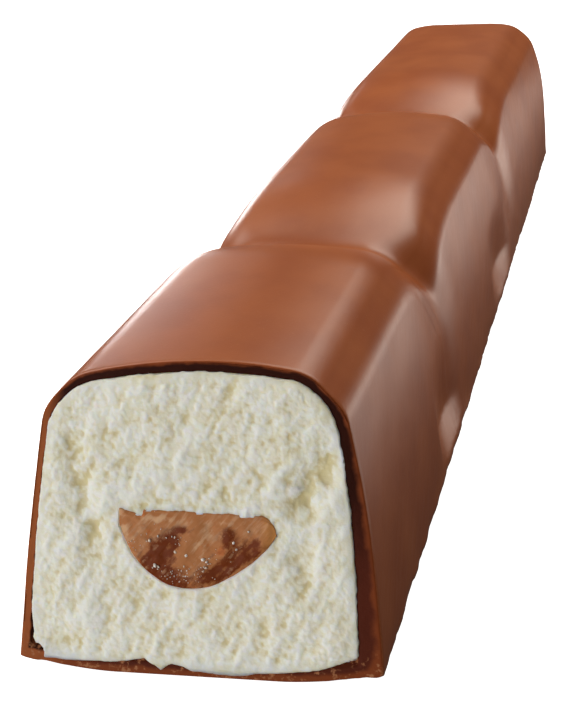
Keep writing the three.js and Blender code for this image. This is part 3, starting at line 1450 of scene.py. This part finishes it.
    def _crumble(self, loaf: bpy.types.Object) -> None:
        """Roughens the cut face and stores where its hollows are, for the shade painted into them.

        Args:
            loaf: the closed loaf.
        """
        points = vertices_of(loaf)
        weight = marked(loaf, "face")
        moving = weight > 0
        depth = np.zeros(len(points))
        depth[moving] = self._relief(points[moving]) * weight[moving]
        move_vertices(loaf, points - np.outer(depth, self.bar.cut_normal()))
        for spacing, height in self.pebbles:
            displace(loaf, Grain.PEBBLES, spacing, height, "face")
        on_face = weight > (self.edge_looseness + self.side_looseness) / 2
        # the share that the painted shade in the hollows follows
        write_attribute(loaf, "hollow_shade", self._hollows(loaf, on_face))

    def _relief(self, points: Array) -> Array:
        """Depth of the hollows that the knife and the crumbling ice left.

        Args:
            points: places on the cut face.

        Returns:
            How far each place lies behind the plain cut.
        """
        x, y, z = points.T
        along = z * math.cos(self.stroke_turn) + x * math.sin(self.stroke_turn)
        beside = x * math.cos(self.stroke_turn) - z * math.sin(self.stroke_turn)
        drawn_out = np.stack([beside, y * 0.5, along * self.stroke_squeeze], axis=1)
        depth = self.broad_relief.at(points)
        depth += sum(stroke.at(drawn_out) for stroke in self.strokes)
        shifts = np.stack([wobble.at(points) for wobble in self.dent_wobble], axis=1)
        return depth + sum(dent.depth_at(points + shifts) for dent in self.dents)

    def _hollows(self, loaf: bpy.types.Object, on_face: Array) -> Array:
        """How far the face's places lie below their surroundings, which sets the shade painted into the
        hollows.

        Args:
            loaf: the loaf.
            on_face: which vertices belong to the face.

        Returns:
            A share for each vertex, 0.5 on average and off the face.
        """
        depth = self.bar.behind_cut(vertices_of(loaf))
        around = np.where(on_face, depth, 0.0)
        ends = edges_of(loaf)
        ends = ends[on_face[ends].all(axis=1)]
        count = np.bincount(ends.ravel(), minlength=len(depth)).clip(1)
        for _ in range(self.blur_rounds):
            total = np.bincount(ends[:, 0], around[ends[:, 1]], len(depth))
            total += np.bincount(ends[:, 1], around[ends[:, 0]], len(depth))
            around = total / count
        local = depth - around
        wide = around - np.mean(around[on_face])
        share = 0.5 + self.local_contrast * local / np.std(local[on_face])
        share = share + self.wide_contrast * wide / np.std(wide[on_face])
        return np.where(on_face, clamp01(share), 0.5)

    def _cut_channel(self, loaf: bpy.types.Object) -> None:
        """Cuts out the channel in which the caramel lies.

        Args:
            loaf: the loaf.
        """
        cutter = make_blank("channel", self.channel_across, self.channel_along, self.channel_up)
        across, share, up = grid_of(cutter, 0)
        places = self.strand.place(self.bar, across, up, share, self.clearance)
        places[:, 1] -= np.where(share < 0.25, self.channel_overrun, 0)
        move_vertices(cutter, places)
        take(loaf)
        bpy.ops.object.modifier_add(type="BOOLEAN")
        cut = loaf.modifiers[-1]
        cut.operation = "DIFFERENCE"
        cut.solver = "MANIFOLD"
        cut.object = cutter
        bpy.ops.object.modifier_apply(modifier=cut.name)
        bpy.data.objects.remove(cutter)


# ---------------------------------------------------------------------------------- the caramel
@dataclass
class CaramelCore:
    """The strand of caramel that shows as a half moon in the cut, with its sugar crystals.

    The crystals are given by their x, their z and their radius in millimetres.
    """

    bar: BarForm
    strand: StrandForm
    across: Steps = (110,)
    up: Steps = (50,)
    along: Steps = (8,)
    proud: float = 0.42 * MM
    edge_proud: float = 0.30 * MM
    edge_share: float = 0.12
    edge_looseness: float = 0.3
    golden_from: float = 0.8
    golden_full: float = 29 / 30
    lumps: tuple[tuple[float, float], ...] = ((1.6 * MM, 0.4 * MM), (0.4 * MM, 0.07 * MM))
    burnt: tuple[Dent, ...] = (
        Dent(-1.8, 9.4, 0.9, 0.55, 1.0, 40),
        Dent(-3.1, 8.2, 1.0, 0.6, 0.9, 75),
        Dent(-2.0, 7.0, 1.6, 0.45, 1.0, -35),
        Dent(2.3, 9.8, 0.5, 0.8, 0.9),
        Dent(4.0, 9.3, 0.8, 0.5, 1.0, 20),
        Dent(3.0, 8.3, 1.6, 0.4, 0.9, 32),
        Dent(1.4, 7.3, 1.6, 0.5, 0.7, 25),
        Dent(-0.9, 10.3, 0.6, 0.2, 0.8),
        Dent(-2.3, 8.4, 1.5, 1.0, 0.6, 55),
        Dent(-1.3, 7.2, 1.5, 0.9, 0.5, -20),
        Dent(1.8, 8.1, 1.8, 0.9, 0.45, 30),
    )
    pale: tuple[Dent, ...] = (
        Dent(-3.0, 11.0, 1.7, 0.25, 0.9, -2),
        Dent(-5.3, 9.8, 0.5, 1.6, 0.9),
        Dent(0.4, 9.5, 1.6, 0.25, 0.6, 45),
        Dent(0.2, 8.4, 1.3, 0.2, 0.5, 48),
        Dent(2.0, 10.8, 2.2, 0.2, 0.4, -2),
        Dent(0.6, 6.2, 1.6, 0.15, 0.8, 12),
    )
    crystals: tuple[Triple, ...] = (
        (-3.3, 9.4, 0.13),
        (-2.7, 9.7, 0.08),
        (-1.5, 9.7, 0.07),
        (-1.5, 8.7, 0.15),
        (-0.7, 8.5, 0.17),
        (0.5, 8.25, 0.16),
        (0.75, 8.1, 0.11),
        (-2.9, 7.75, 0.15),
        (-2.65, 7.65, 0.11),
        (-0.85, 7.75, 0.09),
        (0.7, 7.7, 0.1),
        (2.6, 9.45, 0.12),
        (2.8, 9.0, 0.09),
        (3.6, 10.2, 0.09),
        (-4.6, 9.3, 0.07),
        (4.6, 9.7, 0.07),
    )
    dust_count: int = 110
    dust_size: tuple[float, float] = (0.025 * MM, 0.06 * MM)
    dust_spread: float = 0.3 * MM
    dust_drift: tuple[float, float] = (-0.8 * MM, 7.1 * MM)
    drift_spread: float = 1.1 * MM

    def build(self) -> bpy.types.Object:
        """Makes the strand, its crystals and their materials.

        Returns:
            The finished strand.
        """
        core = make_blank("caramel_strand", self.across, self.along, self.up)
        across, share, up = grid_of(core, 0)
        places = self.strand.place(self.bar, across, up, share)
        on_face = share < SAME_PLACE
        from_edge = np.minimum(1 - np.abs(across), np.minimum(up, 1 - up))
        bulge = lerp(self.proud, self.edge_proud, fade(from_edge / self.edge_share)) * on_face
        places = places + np.outer(bulge, self.bar.cut_normal())
        move_vertices(core, places)
        mark(core, "face", np.where(on_face, self.edge_looseness + from_edge * 4, 0.0))
        for spacing, height in self.lumps:
            displace(core, Grain.LUMPS, spacing, height, "face")
        for name, stains in (("burnt", self.burnt), ("pale", self.pale)):
            strength = sum(stain.depth_at(places) for stain in stains) / MM
            write_attribute(core, name, clamp01(strength))
        write_attribute(core, "end", ramp(across, self.golden_from, self.golden_full))
        paint(core, CaramelFinish().material())
        finish_piece(core, self.bar, ("caramel_core",))
        self._scatter_crystals()
        return core

    def _scatter_crystals(self) -> None:
        """Strews sugar crystals over the strand's face, and finer dust around them."""
        chance = np.random.default_rng(4)
        spots = [(x * MM, z * MM, size * MM) for x, z, size in self.crystals]
        for number in range(self.dust_count):
            x, z, _ = spots[number % len(spots)]
            if number % 2:
                x, z = self.dust_drift
                x += chance.normal(0, self.drift_spread)
            x += chance.normal(0, self.dust_spread)
            z += chance.normal(0, self.dust_spread)
            spots.append((x, z, chance.uniform(*self.dust_size)))
        grains = [self._crystal(x, z, size, chance) for x, z, size in spots]
        sugar = join(grains[0], grains[1:], "sugar_crystals")
        bpy.ops.object.transform_apply(location=True, rotation=True, scale=True)
        paint(sugar, SugarFinish().material())
        finish_piece(sugar, self.bar, ())

    def _crystal(self, x: float, z: float, size: float, chance: np.random.Generator) -> bpy.types.Object:
        """One crystal, half sunk in the face.

        Args:
            x: its place across the face.
            z: its height on the face.
            size: its radius.
            chance: draws its turn and its proportions.

        Returns:
            The crystal.
        """
        place = np.array([x, self.bar.cut_y(x, z), z]) + self.bar.cut_normal() * self.proud
        bpy.ops.object.select_all(action="DESELECT")
        bpy.ops.mesh.primitive_ico_sphere_add(
            subdivisions=1,
            radius=size,
            location=place,
            rotation=chance.uniform(0, math.pi, 3),
            scale=(1.0, chance.uniform(0.6, 0.9), chance.uniform(1.0, 1.7)),
        )
        return bpy.context.object


# ----------------------------------------------------------------------------------- the studio
def hang_lamp(name: str, width: float, length: float, power: float, colour: Colour) -> bpy.types.Object:
    """Makes an oblong studio lamp that the camera can't see, still at the origin.

    Args:
        name: the lamp's name.
        width: its size across.
        length: its size the other way.
        power: its power in watts.
        colour: the colour of its light.

    Returns:
        The lamp, which shines down.
    """
    lamp = bpy.data.lights.new(name, "AREA")
    lamp.shape = "RECTANGLE"
    lamp.size = width
    lamp.size_y = length
    lamp.energy = power
    lamp.color = colour
    light = bpy.data.objects.new(name, lamp)
    light.visible_camera = False
    bpy.context.scene.collection.objects.link(light)
    return light


@dataclass(frozen=True)
class Softbox:
    """A soft oblong light that looks at the bar, placed by compass and height in degrees."""

    name: str
    azimuth: float
    elevation: float
    distance: float
    width: float
    height: float
    power: float
    colour: Colour = (1.0, 1.0, 1.0)

    def place(self, target: Vector) -> None:
        """Hangs the light.

        Args:
            target: the point that it looks at.
        """
        turn = math.radians(self.azimuth)
        rise = math.radians(self.elevation)
        level = math.cos(rise)
        outward = Vector((math.sin(turn) * level, math.cos(turn) * level, math.sin(rise)))
        light = hang_lamp(self.name, self.width, self.height, self.power, self.colour)
        light.location = target + outward * self.distance
        light.rotation_mode = "QUATERNION"
        light.rotation_quaternion = outward.to_track_quat("Z", "Y")


@dataclass(frozen=True)
class Card:
    """A bright card that lies just under the floor beside the bar and shines up at its wall."""

    x: float
    y: float
    width: float
    length: float
    power: float
    colour: Colour
    below: float = 2 * MM

    def place(self) -> None:
        """Lays the card down, face up."""
        card = hang_lamp("card", self.width, self.length, self.power, self.colour)
        card.location = (self.x, self.y, -self.below)
        card.rotation_euler = (math.pi, 0, 0)


@dataclass(frozen=True)
class Studio:
    """A pale floor, soft lights and a camera at the photograph's viewing angle."""

    camera_place: Triple = (26.73 * MM, -109.66 * MM, 53.73 * MM)
    camera_yaw: float = math.radians(-20.706)
    camera_pitch: float = math.radians(28.208)
    camera_roll: float = math.radians(-5.743)
    focal_pixels: float = 1038.26
    picture_height: int = 711
    sensor: float = 36.0
    floor_size: float = 6.0
    floor_colour: Colour = (0.93, 0.93, 0.93)
    floor_glow: float = 0.97
    sky_glow: float = 0.06
    ground_glow: float = 0.05
    horizon: tuple[float, float] = (-0.1, 0.3)
    target: Triple = (0, 0, 10 * MM)
    lights: tuple[Softbox, ...] = (
        Softbox("key", -82, 46, 0.35, 0.25, 0.25, 0.76, (1.0, 0.96, 0.90)),
        Softbox("far_key", 22, 58, 0.28, 0.20, 0.20, 0.58, (1.0, 0.95, 0.86)),
        Softbox("left_strip", -37, 1, 0.50, 0.11, 0.07, 0.33),
        Softbox("high_strip", -31, 20, 0.50, 0.10, 0.06, 0.03),
        Softbox("right_low", 45, -4, 0.30, 0.15, 0.08, 0.09, (1.0, 0.90, 0.80)),
        Softbox("front_fill", -160, 0, 0.50, 0.30, 0.20, 1.22),
        Softbox("front_top", 180, 30, 0.50, 0.30, 0.30, 0.32),
    )
    card: Card = Card(0.0875, 0.06, 0.105, 0.20, 0.105, (1.0, 0.87, 0.79))

    def build(self) -> None:
        """Sets up the whole studio."""
        self._make_camera()
        self._make_floor()
        for light in self.lights:
            light.place(Vector(self.target))
        self.card.place()
        self._make_surroundings()
        bpy.context.scene.view_settings.view_transform = "Standard"
        LOG.info("studio: %d lights and a card", len(self.lights))

    def _make_surroundings(self) -> None:
        """Makes a backdrop that looks white and lights the bar dimly, a little more from above."""
        world = bpy.data.worlds.new("studio")
        world.use_nodes = True
        nodes = world.node_tree.nodes
        links = world.node_tree.links
        height = nodes.new("ShaderNodeSeparateXYZ")
        links.new(nodes.new("ShaderNodeTexCoord").outputs["Generated"], height.inputs[0])
        glow = nodes.new("ShaderNodeMapRange")
        links.new(height.outputs["Z"], glow.inputs["Value"])
        levels = (*self.horizon, self.ground_glow, self.sky_glow)
        for socket, level in zip(("From Min", "From Max", "To Min", "To Max"), levels):
            glow.inputs[socket].default_value = level
        seen = nodes.new("ShaderNodeMix")
        links.new(nodes.new("ShaderNodeLightPath").outputs["Is Camera Ray"], seen.inputs[0])
        links.new(glow.outputs[0], seen.inputs[2])
        seen.inputs[3].default_value = 1.0
        links.new(seen.outputs[0], nodes["Background"].inputs["Strength"])
        nodes["Background"].inputs["Color"].default_value = (1, 1, 1, 1)
        bpy.context.scene.world = world

    def _make_camera(self) -> None:
        """Places the camera and makes it the scene's own."""
        level = math.cos(self.camera_pitch)
        east = math.sin(self.camera_yaw)
        north = math.cos(self.camera_yaw)
        ahead = Vector((east * level, north * level, -math.sin(self.camera_pitch)))
        right = Vector((north, -east, 0))
        above = right.cross(ahead)
        roll = Matrix.Rotation(-self.camera_roll, 3, ahead)
        lens = bpy.data.cameras.new("camera")
        lens.sensor_width = self.sensor
        lens.lens = self.focal_pixels / self.picture_height * self.sensor
        lens.clip_start = 1 * MM
        camera = bpy.data.objects.new("camera", lens)
        axes = Matrix((roll @ right, roll @ above, -ahead)).transposed()
        camera.matrix_world = Matrix.Translation(self.camera_place) @ axes.to_4x4()
        bpy.context.scene.collection.objects.link(camera)
        bpy.context.scene.camera = camera

    def _make_floor(self) -> None:
        """Lays the floor under the bar."""
        bpy.ops.object.select_all(action="DESELECT")
        bpy.ops.mesh.primitive_plane_add(size=self.floor_size)
        floor = bpy.context.object
        floor.name = "floor"
        sheet = NodeSheet("floor")
        mottle = sheet.stepped(sheet.noise(60 * MM, 2), 0.3, 0.7)
        shaded = tuple(0.98 * part for part in self.floor_colour)
        sheet.set_shader(Base_Color=sheet.blend(mottle, self.floor_colour, shaded), Roughness=0.9)
        sheet.set_shader(Emission_Color=(1.0, 1.0, 1.0), Emission_Strength=self.floor_glow)
        paint(floor, sheet.material)
        floor.visible_glossy = False
        floor.visible_diffuse = False
        floor.visible_shadow = False


def main() -> None:
    """Builds every piece in order and sets up the studio."""
    logging.basicConfig(level=logging.INFO, format="%(name)s %(message)s")
    bar = BarForm()
    strand = StrandForm()
    ChocolateCoating(bar).build()
    IceCream(bar, strand).build()
    CaramelCore(bar, strand).build()
    Studio().build()


if __name__ == "__main__":
    main()
